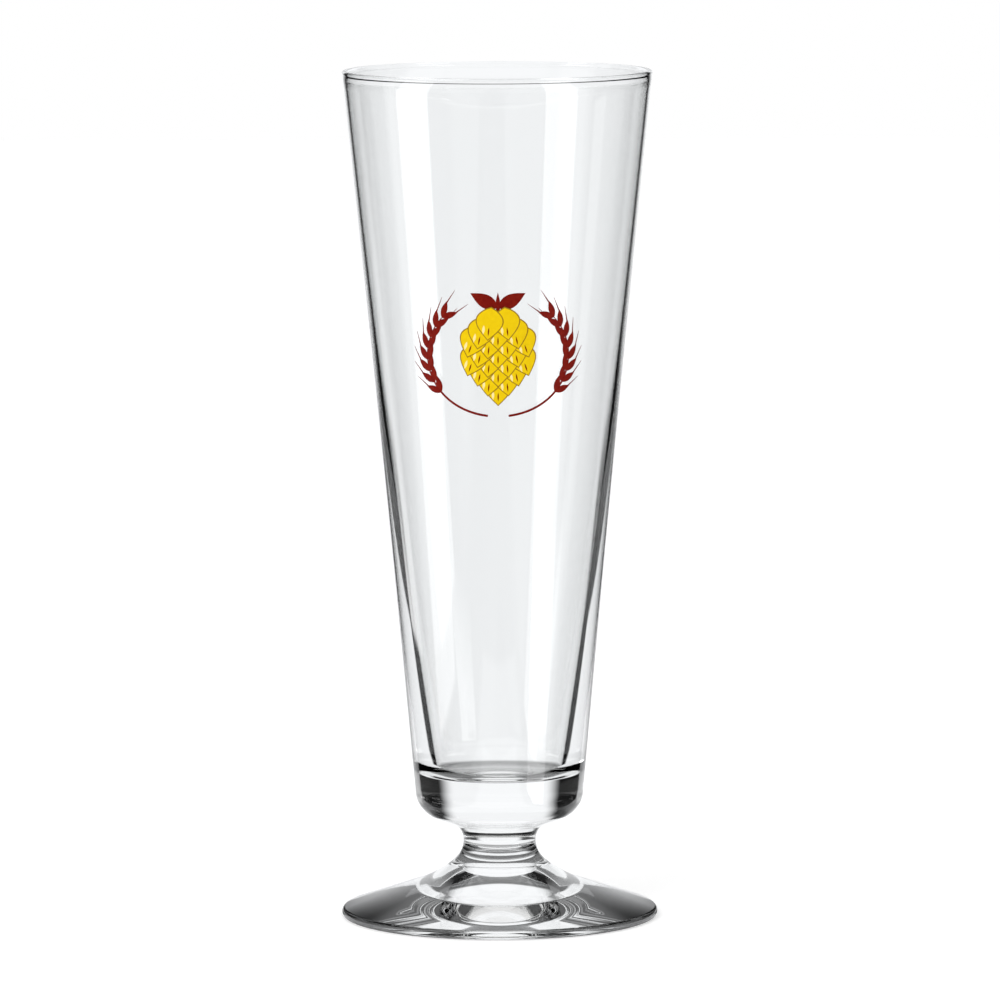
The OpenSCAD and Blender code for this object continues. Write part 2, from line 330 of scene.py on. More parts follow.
def base_line():
    """The bowl's underside, from the stem to the start of the tall wall."""
    z = heights()
    root, neck, low = (NECK_R, z["root"]), (NECK_R, z["underside"]), wall_ends()[0]
    return (rounded(root, neck, low, NECK_TOP_R)
            + rounded(neck, low, (wall_out(z["floor"]), z["floor"]), BOWL_BASE_R))


def tall_wall_line(start):
    """The outer wall from a height to the bead."""
    top = wall_ends()[1][1]
    levels = [start + (top - start) * i / WALL_STEPS for i in range(1, WALL_STEPS + 1)]
    return [(wall_out(z), z) for z in levels]


def rim_line():
    """The bead of the rim, over its top to the inner wall."""
    rim = bead()
    quarter = math.pi / 2
    rising = [-rim["out"] + (quarter + rim["out"]) * i / RIM_STEPS for i in range(1, RIM_STEPS + 1)]
    falling = [quarter + (quarter + rim["in"]) * i / RIM_STEPS for i in range(1, RIM_STEPS + 1)]
    return [(RIM_R - rim["radius"] + rim["radius"] * math.cos(t),
             rim["z"] + rim["radius"] * math.sin(t)) for t in rising + falling]


def inner_line():
    """The inside of the bowl, from the bead to the middle of its floor."""
    floor = heights()["floor"]
    above = (wall_in(floor + FLOOR_CORNER_R), floor + FLOOR_CORNER_R)
    corner = rounded(above, (wall_in(floor), floor), (0, floor), FLOOR_CORNER_R)
    high, low = rim_line()[-1][1], corner[0][1]
    levels = [high + (low - high) * i / WALL_STEPS for i in range(1, WALL_STEPS)]
    return [(wall_in(z), z) for z in levels] + corner + [(0, floor)]


def hollow_line():
    """The underside of the foot, from the middle of the recess out to the ring that stands."""
    roof, edge = (0, RECESS_H), (RECESS_ROOF_R, RECESS_H)
    bend, mouth = (RECESS_BEND_R, RECESS_BEND_H), (RECESS_MOUTH_R, UNDERSIDE_RISE)
    inner = (FOOT_R - FOOT_EDGE_LOW_R - BEARING_W, 0)
    return ([roof] + rounded(roof, edge, bend, RECESS_ROOF_ROUND)
            + rounded(edge, bend, mouth, RECESS_BEND_ROUND)
            + rounded(bend, mouth, inner, RECESS_MOUTH_ROUND) + [inner])


def between(line, low, high):
    """The part of a line between two heights, with its ends exactly on the line."""
    def at(z):
        for (r0, z0), (r1, z1) in zip(line, line[1:]):
            if z0 <= z <= z1 and z1 > z0:
                return (r0 + (r1 - r0) * (z - z0) / (z1 - z0), z)
        raise ValueError("no such height on the outline")
    return [at(low)] + [p for p in line if low < p[1] < high] + [at(high)]


# Small helpers for nodes. A colour Mix node's two colours are its sockets 6 and 7.

def place(tree, kind, fed=None, **settings):
    """A node with its settings, its sockets fed by a value or by another node's output."""
    made = tree.nodes.new(kind)
    for name, value in settings.items():
        setattr(made, name, value)
    for key, value in (fed or {}).items():
        if isinstance(value, bpy.types.NodeSocket):
            tree.links.new(value, made.inputs[key])
        else:
            made.inputs[key].default_value = value
    return made


def sum_of(tree, operation, *values):
    """A Math node's output."""
    return place(tree, "ShaderNodeMath", dict(enumerate(values)), operation=operation).outputs[0]


def new_group(name, kind, inputs, outputs):
    """A node group with named sockets; each input is (name, type, value)."""
    tree = bpy.data.node_groups.new(name, kind)
    for label, socket, value in inputs:
        made = tree.interface.new_socket(label, in_out="INPUT", socket_type=socket)
        if value is not None:
            made.default_value = value
    for label, socket in outputs:
        tree.interface.new_socket(label, in_out="OUTPUT", socket_type=socket)
    return tree, place(tree, "NodeGroupInput"), place(tree, "NodeGroupOutput")


def made_plain(name, mesh, tree, values):
    """The mesh run through a geometry tree once, as a new object with a plain mesh."""
    base = bpy.data.objects.new(name + "_base", mesh)
    bpy.context.scene.collection.objects.link(base)
    modifier = base.modifiers.new("made", "NODES")
    modifier.node_group = tree
    for item in tree.interface.items_tree:
        if item.item_type == "SOCKET" and item.in_out == "INPUT" and item.name in values:
            modifier[item.identifier] = values[item.name]
    evaluated = base.evaluated_get(bpy.context.evaluated_depsgraph_get())
    result = bpy.data.meshes.new_from_object(evaluated)
    bpy.data.objects.remove(base)
    result.name = name
    piece = bpy.data.objects.new(name, result)
    bpy.context.scene.collection.objects.link(piece)
    return piece


# The turned pieces of glass

def turning_tree():
    """Turns an outline about the upright axis and closes the seam and the poles."""
    tree, inside, out = new_group("Turned glass", "GeometryNodeTree", [
        ("Outline", "NodeSocketGeometry", None),
        ("Steps around", "NodeSocketInt", STEPS_AROUND),
        ("Merge distance", "NodeSocketFloat", MERGE),
        ("Lower joint", "NodeSocketFloat", 0.0),
        ("Upper joint", "NodeSocketFloat", 0.0),
        ("Glass", "NodeSocketMaterial", None),
        ("Fused joint", "NodeSocketMaterial", None),
    ], [("Geometry", "NodeSocketGeometry")])
    given = inside.outputs
    count = place(tree, "GeometryNodeAttributeDomainSize", {0: given["Outline"]}).outputs[0]
    columns = sum_of(tree, "ADD", given["Steps around"], 1.0)
    grid = place(tree, "GeometryNodeMeshGrid", {"Vertices X": columns, "Vertices Y": count})
    index = place(tree, "GeometryNodeInputIndex").outputs[0]
    row = place(tree, "FunctionNodeIntegerMath", {0: index, 1: count}, operation="MODULO")
    column = place(tree, "FunctionNodeIntegerMath", {0: index, 1: count}, operation="DIVIDE_FLOOR")
    here = place(tree, "GeometryNodeInputPosition").outputs[0]
    point = place(tree, "GeometryNodeSampleIndex", {
        "Geometry": given["Outline"], "Value": here, "Index": row.outputs[0],
    }, data_type="FLOAT_VECTOR")
    apart = place(tree, "ShaderNodeSeparateXYZ", {0: point.outputs[0]}).outputs
    share = sum_of(tree, "DIVIDE", column.outputs[0], given["Steps around"])
    angle = sum_of(tree, "MULTIPLY", share, math.tau)
    x = sum_of(tree, "MULTIPLY", apart[0], sum_of(tree, "COSINE", angle))
    y = sum_of(tree, "MULTIPLY", apart[0], sum_of(tree, "SINE", angle))
    spot = place(tree, "ShaderNodeCombineXYZ", {0: x, 1: y, 2: apart[2]}).outputs[0]
    moved = place(tree, "GeometryNodeSetPosition", {"Geometry": grid.outputs[0], "Position": spot})
    merged = place(tree, "GeometryNodeMergeByDistance", {
        "Geometry": moved.outputs[0], "Distance": given["Merge distance"]})
    smooth = place(tree, "GeometryNodeSetShadeSmooth", {"Geometry": merged.outputs[0]})
    real = place(tree, "GeometryNodeRealizeInstances", {"Geometry": smooth.outputs[0]})
    glass = place(tree, "GeometryNodeSetMaterial", {
        "Geometry": real.outputs[0], "Material": given["Glass"]})
    z = place(tree, "ShaderNodeSeparateXYZ", {0: here}).outputs[2]
    low = sum_of(tree, "COMPARE", z, given["Lower joint"], MERGE)
    high = sum_of(tree, "COMPARE", z, given["Upper joint"], MERGE)
    joint = place(tree, "GeometryNodeSetMaterial", {
        "Geometry": glass.outputs[0], "Selection": sum_of(tree, "MAXIMUM", low, high),
        "Material": given["Fused joint"]})
    tree.links.new(joint.outputs[0], out.inputs[0])
    return tree


def outline_mesh(name, points):
    """The outline as a chain of edges, in the XZ plane."""
    mesh = bpy.data.meshes.new(name)
    mesh.from_pydata([(r, 0, z) for r, z in points], [(i, i + 1) for i in range(len(points) - 1)], [])
    return mesh


def turned_piece(name, points, tree, glass, joint):
    """One piece of glass, turned from its outline, in place of its CAD node."""
    z = heights()
    piece = made_plain("glass_" + name, outline_mesh(name + "_outline", points), tree, {
        "Steps around": STEPS_AROUND, "Merge distance": MERGE,
        "Lower joint": z["foot joint"], "Upper joint": z["bowl joint"],
        "Glass": glass, "Fused joint": joint})
    piece.data.set_sharp_from_angle(angle=GLASS_CREASE)
    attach(piece, "root")
    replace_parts(piece, name)


def make_bowl(tree, glass, joint):
    """The bowl, from the flat joint under its block of glass to the rim and the floor."""
    z = heights()
    base = base_line()
    outside = flank_line() + base + tall_wall_line(base[-1][1])
    top = outside[-1][1]
    points = ([(0, z["bowl joint"])] + between(outside, z["bowl joint"], top)
              + rim_line() + inner_line())
    turned_piece("bowl", points, tree, glass, joint)


def make_stem(tree, glass, joint):
    """The stem, between its two flat joints."""
    z = heights()
    outside = between(flank_line() + base_line(), z["foot joint"], z["bowl joint"])
    points = [(0, z["foot joint"])] + outside + [(0, z["bowl joint"])]
    turned_piece("stem", points, tree, glass, joint)


def make_foot(tree, glass, joint):
    """The foot, from its hollow underside to the flat joint with the stem."""
    joint_z = heights()["foot joint"]
    flank = flank_line()
    outside = [p for p in flank if p[1] < joint_z] + [between(flank, flank[0][1], joint_z)[-1]]
    points = hollow_line() + foot_edge_line() + outside + [(0, joint_z)]
    turned_piece("foot", points, tree, glass, joint)


# The emblem

def printing_tree():
    """Sets a stamp at each point of a flat drawing and lays the whole round the bowl's wall."""
    tree, inside, out = new_group("Print laid round the bowl", "GeometryNodeTree", [
        ("Drawing", "NodeSocketGeometry", None),
        ("Stamp", "NodeSocketObject", None),
        ("Low radius", "NodeSocketFloat", 0.0), ("High radius", "NodeSocketFloat", 0.0),
        ("Low height", "NodeSocketFloat", 0.0), ("High height", "NodeSocketFloat", 1.0),
        ("Bow", "NodeSocketFloat", 0.0),
        ("Enamel", "NodeSocketMaterial", None),
    ], [("Geometry", "NodeSocketGeometry")])
    given = inside.outputs
    stamp = place(tree, "GeometryNodeObjectInfo", {"Object": given["Stamp"]})
    turn = place(tree, "GeometryNodeInputNamedAttribute", {"Name": "turn"}, data_type="FLOAT")
    level = place(tree, "GeometryNodeInputNamedAttribute", {"Name": "level"}, data_type="FLOAT")
    facing = place(tree, "ShaderNodeCombineXYZ", {1: turn.outputs[0]}).outputs[0]
    set_out = place(tree, "GeometryNodeInstanceOnPoints", {
        "Points": given["Drawing"], "Instance": stamp.outputs["Geometry"], "Rotation": facing})
    real = place(tree, "GeometryNodeRealizeInstances", {"Geometry": set_out.outputs[0]})
    here = place(tree, "GeometryNodeInputPosition").outputs[0]
    apart = place(tree, "ShaderNodeSeparateXYZ", {0: here}).outputs
    span = sum_of(tree, "SUBTRACT", given["High height"], given["Low height"])
    t = sum_of(tree, "DIVIDE", sum_of(tree, "SUBTRACT", apart[2], given["Low height"]), span)
    taper = sum_of(tree, "SUBTRACT", given["High radius"], given["Low radius"])
    straight = sum_of(tree, "MULTIPLY_ADD", taper, t, given["Low radius"])
    hump = sum_of(tree, "MULTIPLY", t, sum_of(tree, "SUBTRACT", 1.0, t))
    bowed = sum_of(tree, "MULTIPLY", sum_of(tree, "MULTIPLY", hump, given["Bow"]), 4.0)
    radius = sum_of(tree, "SUBTRACT", straight, bowed)
    above = sum_of(tree, "LESS_THAN", apart[1], 0.0)
    lifted = sum_of(tree, "MULTIPLY_ADD", above, level.outputs[0], radius)
    reach = sum_of(tree, "SUBTRACT", lifted, apart[1])
    angle = sum_of(tree, "DIVIDE", apart[0], radius)
    x = sum_of(tree, "MULTIPLY", reach, sum_of(tree, "SINE", angle))
    y = sum_of(tree, "MULTIPLY", sum_of(tree, "MULTIPLY", reach, sum_of(tree, "COSINE", angle)), -1.0)
    spot = place(tree, "ShaderNodeCombineXYZ", {0: x, 1: y, 2: apart[2]}).outputs[0]
    laid = place(tree, "GeometryNodeSetPosition", {"Geometry": real.outputs[0], "Position": spot})
    smooth = place(tree, "GeometryNodeSetShadeSmooth", {"Geometry": laid.outputs[0]})
    enamel = place(tree, "GeometryNodeSetMaterial", {
        "Geometry": smooth.outputs[0], "Material": given["Enamel"]})
    tree.links.new(enamel.outputs[0], out.inputs[0])
    return tree


def leaf(length, width, full, steps=9, root=0.0):
    """A leaf outline that points along +X from its root, fullest at a share of its length."""
    bend = math.log(0.5) / math.log(full)
    shares = [i / steps for i in range(steps + 1)]
    upper = [(root + length * t, width / 2 * math.sin(math.pi * t ** bend)) for t in shares]
    return upper + [(x, -y) for x, y in upper[-2:0:-1]]


def inset(points, distance):
    """The outline drawn in by a distance, each point along its own corner."""
    moved = []
    count = len(points)
    for i, p in enumerate(points):
        a, b, c = Vector(points[i - 1]), Vector(p), Vector(points[(i + 1) % count])
        first, second = (b - a).normalized(), (c - b).normalized()
        across = Vector((-(first + second).y, (first + second).x)).normalized()
        # A sharp corner moves by no more than twice the distance
        narrow = max(across.dot(Vector((-first.y, first.x))), 0.5)
        moved.append(b + across * distance / narrow)
    return [(p.x, p.y) for p in moved]


def plate(name, points, low, high, edge):
    """A thin plate with a rounded edge, facing -Y, between two raises above the wall."""
    area = sum(a[0] * b[1] - b[0] * a[1] for a, b in zip(points, points[1:] + points[:1]))
    points = points if area > 0 else points[::-1]
    # The edge is rounded in two steps, drawn in and lowered by shares of its radius
    rings = [(points, low), (points, high - edge * 0.6),
             (inset(points, edge * 0.35), high - edge * 0.2), (inset(points, edge), high)]
    form = bmesh.new()
    made = [[form.verts.new((x, -raised, z)) for x, z in ring] for ring, raised in rings]
    count = len(points)
    for below, over in zip(made, made[1:]):
        for i in range(count):
            j = (i + 1) % count
            form.faces.new((below[i], below[j], over[j], over[i]))
    form.faces.new(made[0][::-1])
    form.faces.new(made[-1])
    # Cut into small cells, so that the plate can bend with the wall
    for axis, values in ((0, [p[0] for p in points]), (2, [p[1] for p in points])):
        normal = Vector((1, 0, 0)) if axis == 0 else Vector((0, 0, 1))
        cuts = int((max(values) - min(values)) / CELL)
        for i in range(1, cuts + 1):
            at = min(values) + (max(values) - min(values)) * i / (cuts + 1)
            bmesh.ops.bisect_plane(form, geom=form.verts[:] + form.edges[:] + form.faces[:],
                                   dist=MERGE, plane_co=normal * at, plane_no=normal)
    bmesh.ops.triangulate(form, faces=[f for f in form.faces if len(f.verts) > 4])
    bmesh.ops.recalc_face_normals(form, faces=form.faces)
    mesh = bpy.data.meshes.new(name)
    form.to_mesh(mesh)
    form.free()
    stamp = bpy.data.objects.new(name, mesh)
    bpy.context.scene.collection.objects.link(stamp)
    return stamp


def drawing(name, spots):
    """Points of a flat drawing: each spot is (x, height, turn, level)."""
    mesh = bpy.data.meshes.new(name)
    mesh.from_pydata([(spot[0], 0, EMBLEM_Z + spot[1]) for spot in spots], [], [])
    # A turn about +Y runs clockwise as the drawing is seen, so its sign changes
    for label, column, sign in (("turn", 2, -1), ("level", 3, 1)):
        values = mesh.attributes.new(label, "FLOAT", "POINT")
        for i, spot in enumerate(spots):
            values.data[i].value = sign * spot[column]
    return mesh


def printed(name, stamps, tree, enamel):
    """The stamps of one colour, laid round the bowl and joined into one piece."""
    low, high = wall_ends()
    parts = []
    for i, (stamp, spots) in enumerate(stamps):
        parts.append(made_plain(f"{name}_{i}", drawing(f"{name}_drawing_{i}", spots), tree, {
            "Stamp": stamp, "Low radius": low[0], "High radius": high[0],
            "Low height": low[1], "High height": high[1], "Bow": WALL_BOW, "Enamel": enamel}))
    form = bmesh.new()
    for part in parts:
        form.from_mesh(part.data)
    for face in form.faces:
        face.material_index = 0
    mesh = bpy.data.meshes.new("joined")
    form.to_mesh(mesh)
    form.free()
    mesh.materials.append(enamel)
    for part in parts:
        bpy.data.objects.remove(part)
    mesh.name = "enamel_" + name
    mesh.set_sharp_from_angle(angle=ENAMEL_CREASE)
    piece = bpy.data.objects.new("enamel_" + name, mesh)
    bpy.context.scene.collection.objects.link(piece)
    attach(piece, "root")
    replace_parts(piece, "print_" + name)


def scale_spots():
    """Root, heading and level of every scale of the hop cone, from the tip row to the top row."""
    last = len(SCALES_IN_ROW) - 1
    pitch = (CONE_H - SCALE_L) / last
    side_pitch = (CONE_W - SCALE_W) / (max(SCALES_IN_ROW) - 1)
    spots = []
    for row, count in enumerate(SCALES_IN_ROW):
        for column in reversed(range(count)):
            x = side_pitch * (column - (count - 1) / 2)
            z = row * pitch + SCALE_L - CONE_H / 2
            heading = -math.pi / 2 + SCALE_SPLAY * x / (CONE_W / 2)
            spots.append((x, z, heading, SCALE_STEP * len(spots)))
    return spots


def along(spot, distance, aside=0.0):
    """The spot moved on by a distance along its heading, and by another to its left."""
    x, z, heading, level = spot
    return (x + distance * math.cos(heading) - aside * math.sin(heading),
            z + distance * math.sin(heading) + aside * math.cos(heading), heading, level)


def make_ochre(tree, enamel):
    """The grown scales, which show as the lines and shade between the yellow ones."""
    outline = leaf(SCALE_L + 2 * KEYLINE_W, SCALE_W + 2 * KEYLINE_W, SCALE_FULL, SCALE_STEPS,
                   -KEYLINE_W)
    stamp = plate("grown_scale", outline, -ENAMEL_SUNK, ENAMEL_T, EDGE_ROUND)
    printed("ochre", [(stamp, scale_spots())], tree, enamel)


def make_yellow(tree, enamel):
    """The yellow scales, each a hair above its ochre one."""
    stamp = plate("scale", leaf(SCALE_L, SCALE_W, SCALE_FULL, SCALE_STEPS), LAYER_LOW,
                  YELLOW_TOP, EDGE_ROUND)
    printed("yellow", [(stamp, scale_spots())], tree, enamel)


def make_cream(tree, enamel):
    """Light strokes on the left of each scale."""
    stamp = plate("glint", leaf(SCALE_L * STROKE_SHARE, GLINT_W, 0.5, STROKE_STEPS), LAYER_LOW,
                  STROKE_TOP, STROKE_ROUND)
    spots = [along(s, SCALE_L * GLINT_AT, -SCALE_W * GLINT_ASIDE) for s in scale_spots()]
    printed("cream", [(stamp, spots)], tree, enamel)


def wreath_spot(turn, side):
    """Place and heading on the middle line of an ear, on one side of the cone."""
    x, z = side * WREATH_W * math.cos(turn), WREATH_H * math.sin(turn)
    heading = math.atan2(WREATH_H * math.cos(turn), -side * WREATH_W * math.sin(turn))
    return (x, z, heading, 0.0)


def stalk_outline(side):
    """The stalk of one ear, as a closed ribbon round its middle line."""
    first, last = math.radians(STALK_FROM), math.radians(STALK_TO)
    turns = [first + (last - first) * i / STALK_STEPS for i in range(STALK_STEPS + 1)]
    outer, inner = [], []
    for i, turn in enumerate(turns):
        x, z = wreath_spot(turn, side)[:2]
        half = STALK_W / 2 * (1 - STALK_TAPER * (i / STALK_STEPS) ** 2)
        across = (side * math.cos(turn), math.sin(turn))
        outer.append((x + half * across[0], EMBLEM_Z + z + half * across[1]))
        inner.append((x - half * across[0], EMBLEM_Z + z - half * across[1]))
    return outer + inner[::-1]


def make_maroon(tree, enamel):
    """Barley ears with beards and stalks, the leaves and stalk of the cone, and the scales' veins."""
    grains, beards = [], []
    for side in (-1, 1):
        for i in range(GRAIN_PAIRS):
            turn = math.radians(FIRST_PAIR + PAIR_STEP * i)
            for lean in (-GRAIN_LEAN, GRAIN_LEAN):
                x, z, heading, level = wreath_spot(turn, side)
                grain = (x, z, heading + lean, level)
                tip = along(grain, GRAIN_L * BEARD_AT)
                grains.append(grain)
                beards.append((tip[0], tip[1], heading + lean * BEARD_LEAN, level))
    grain_stamp = plate("grain", leaf(GRAIN_L, GRAIN_W, GRAIN_FULL), -ENAMEL_SUNK, ENAMEL_T,
                        EDGE_ROUND)
    beard_stamp = plate("beard", [(0, BEARD_W / 2), (0, -BEARD_W / 2), (BEARD_L, -BEARD_TIP),
                                  (BEARD_L, BEARD_TIP)],
                        -ENAMEL_SUNK, BEARD_T, BEARD_ROUND)
    leaf_stamp = plate("leaf", leaf(LEAF_L, LEAF_W, LEAF_FULL), -ENAMEL_SUNK, ENAMEL_T, EDGE_ROUND)
    pitch = (CONE_H - SCALE_L) / (len(SCALES_IN_ROW) - 1)
    hop_stalk = plate("hop_stalk", leaf(pitch + HOP_STALK_L, STALK_W * 2, 0.5),
                      -ENAMEL_SUNK, ENAMEL_T, EDGE_ROUND)
    vein = plate("vein", leaf(SCALE_L * STROKE_SHARE, VEIN_W, 0.5, STROKE_STEPS), LAYER_LOW,
                 STROKE_TOP, STROKE_ROUND)
    upright = math.pi / 2
    leaves = [(0, CONE_H / 2, upright - side * LEAF_LEAN, 0.0) for side in (-1, 1)]
    stamps = [
        (grain_stamp, grains), (beard_stamp, beards), (leaf_stamp, leaves),
        (hop_stalk, [(0, CONE_H / 2 - pitch, upright, 0.0)]),
        (vein, [along(s, SCALE_L * VEIN_AT) for s in scale_spots()]),
    ]
    for side in (-1, 1):
        stalk = plate(f"stalk_{side}", stalk_outline(side), -ENAMEL_SUNK, STALK_T,
                      EDGE_ROUND)
        stamps.append((stalk, [(0, -EMBLEM_Z, 0.0, 0.0)]))
    printed("maroon", stamps, tree, enamel)


# Materials

def new_material(name):
    """A material, its tree and its Principled shader."""
    made = bpy.data.materials.new(name)
    made.use_nodes = True
    tree = made.node_tree
    return made, tree, tree.nodes["Principled BSDF"]


def glass_skin_group():
    """The faint unevenness of fired and polished glass: slow ripples and a breath of tint."""
    tree, inside, out = new_group("Glass skin", "ShaderNodeTree", [
        ("Tint", "NodeSocketColor", (1, 1, 1, 1)),
        ("Deeper tint", "NodeSocketColor", (1, 1, 1, 1)),
        ("Tint scale", "NodeSocketFloat", 30.0),
        ("Ripple scale", "NodeSocketFloat", 60.0),
        ("Ripple stretch", "NodeSocketFloat", 0.15),
    ], [("Color", "NodeSocketColor"), ("Height", "NodeSocketFloat")])
    given = inside.outputs
    spot = place(tree, "ShaderNodeTexCoord").outputs["Object"]
    clouds = place(tree, "ShaderNodeTexNoise", {"Vector": spot, "Scale": given["Tint scale"],
                                                "Detail": 1.0})
    mixed = place(tree, "ShaderNodeMix", {0: clouds.outputs[0], 6: given["Tint"],
                                          7: given["Deeper tint"]}, data_type="RGBA")
    stretch = place(tree, "ShaderNodeCombineXYZ", {0: 1.0, 1: 1.0, 2: given["Ripple stretch"]})
    drawn = place(tree, "ShaderNodeMapping", {"Vector": spot, "Scale": stretch.outputs[0]})
    ripples = place(tree, "ShaderNodeTexNoise", {"Vector": drawn.outputs[0],
                                                 "Scale": given["Ripple scale"], "Detail": 1.0})
    tree.links.new(mixed.outputs[2], out.inputs["Color"])
    tree.links.new(ripples.outputs[0], out.inputs["Height"])
    return tree


def clear_glass_material(skin):
    """Clear soda-lime glass."""
    made, tree, shader = new_material("clear_glass")
    surface = place(tree, "ShaderNodeGroup", node_tree=skin)
    surface.inputs["Tint"].default_value = GLASS_TINT
    surface.inputs["Deeper tint"].default_value = GLASS_DEEPER_TINT
    bump = place(tree, "ShaderNodeBump", {"Strength": RIPPLE_STRENGTH, "Distance": RIPPLE_H,
                                          "Height": surface.outputs["Height"]})
    tree.links.new(surface.outputs["Color"], shader.inputs["Base Color"])
    tree.links.new(bump.outputs[0], shader.inputs["Normal"])
    shader.inputs["Roughness"].default_value = 0.0
    shader.inputs["IOR"].default_value = GLASS_IOR
    shader.inputs["Transmission Weight"].default_value = 1.0
    return made


def fused_joint_material():
    """Inside the glass two pieces meet here, and nothing is seen of it."""
    made, _, shader = new_material("fused_joint")
    shader.inputs["Base Color"].default_value = (1, 1, 1, 1)
    shader.inputs["Alpha"].default_value = 0.0
    return made


def enamel_group():
    """Fired ceramic ink: a faint mottle, and the screen's fine grain in its skin and its gloss."""
    tree, inside, out = new_group("Fired enamel", "ShaderNodeTree", [
        ("Color", "NodeSocketColor", (1, 1, 1, 1)),
        ("Thin color", "NodeSocketColor", (1, 1, 1, 1)),
        ("Gloss", "NodeSocketFloat", 0.3),
        ("Mottle scale", "NodeSocketFloat", 900.0),
        ("Mesh pitch", "NodeSocketFloat", 2500.0),
    ], [("Color", "NodeSocketColor"), ("Roughness", "NodeSocketFloat"),
        ("Height", "NodeSocketFloat")])
    given = inside.outputs
    spot = place(tree, "ShaderNodeTexCoord").outputs["Object"]
    mottle = place(tree, "ShaderNodeTexNoise", {"Vector": spot, "Scale": given["Mottle scale"],
                                                "Detail": 3.0, "Roughness": 0.6})
    fine = place(tree, "ShaderNodeTexNoise", {"Vector": spot, "Scale": given["Mesh pitch"],
                                              "Detail": 2.0})
    thin = place(tree, "ShaderNodeMapRange", {"Value": mottle.outputs[0], "From Min": 0.35,
                                              "From Max": 0.75})
    mixed = place(tree, "ShaderNodeMix", {0: thin.outputs[0], 6: given["Color"],
                                          7: given["Thin color"]}, data_type="RGBA")
    dullest = sum_of(tree, "ADD", given["Gloss"], ENAMEL_GLOSS_SPAN)
    rough = place(tree, "ShaderNodeMapRange", {"Value": fine.outputs[0], "From Min": 0.3,
                                               "From Max": 0.7, "To Min": given["Gloss"],
                                               "To Max": dullest})
    height = sum_of(tree, "ADD", fine.outputs[0], mottle.outputs[0])
    tree.links.new(mixed.outputs[2], out.inputs["Color"])
    tree.links.new(rough.outputs[0], out.inputs["Roughness"])
    tree.links.new(height, out.inputs["Height"])
    return tree


def enamel_material(name, fired, color, thin, gloss):
    """One fired ink."""
    made, tree, shader = new_material("enamel_" + name)
    surface = place(tree, "ShaderNodeGroup", node_tree=fired)
    surface.inputs["Color"].default_value = color + (1,)
    surface.inputs["Thin color"].default_value = thin + (1,)
    surface.inputs["Gloss"].default_value = gloss
    bump = place(tree, "ShaderNodeBump", {"Strength": MESH_STRENGTH, "Distance": MESH_H,
                                          "Height": surface.outputs["Height"]})
    tree.links.new(surface.outputs["Color"], shader.inputs["Base Color"])
    tree.links.new(surface.outputs["Roughness"], shader.inputs["Roughness"])
    tree.links.new(bump.outputs[0], shader.inputs["Normal"])
    shader.inputs["IOR"].default_value = ENAMEL_IOR
    shader.inputs["Specular IOR Level"].default_value = ENAMEL_SHINE
    return made


# The studio: floor, surroundings, lamps and camera

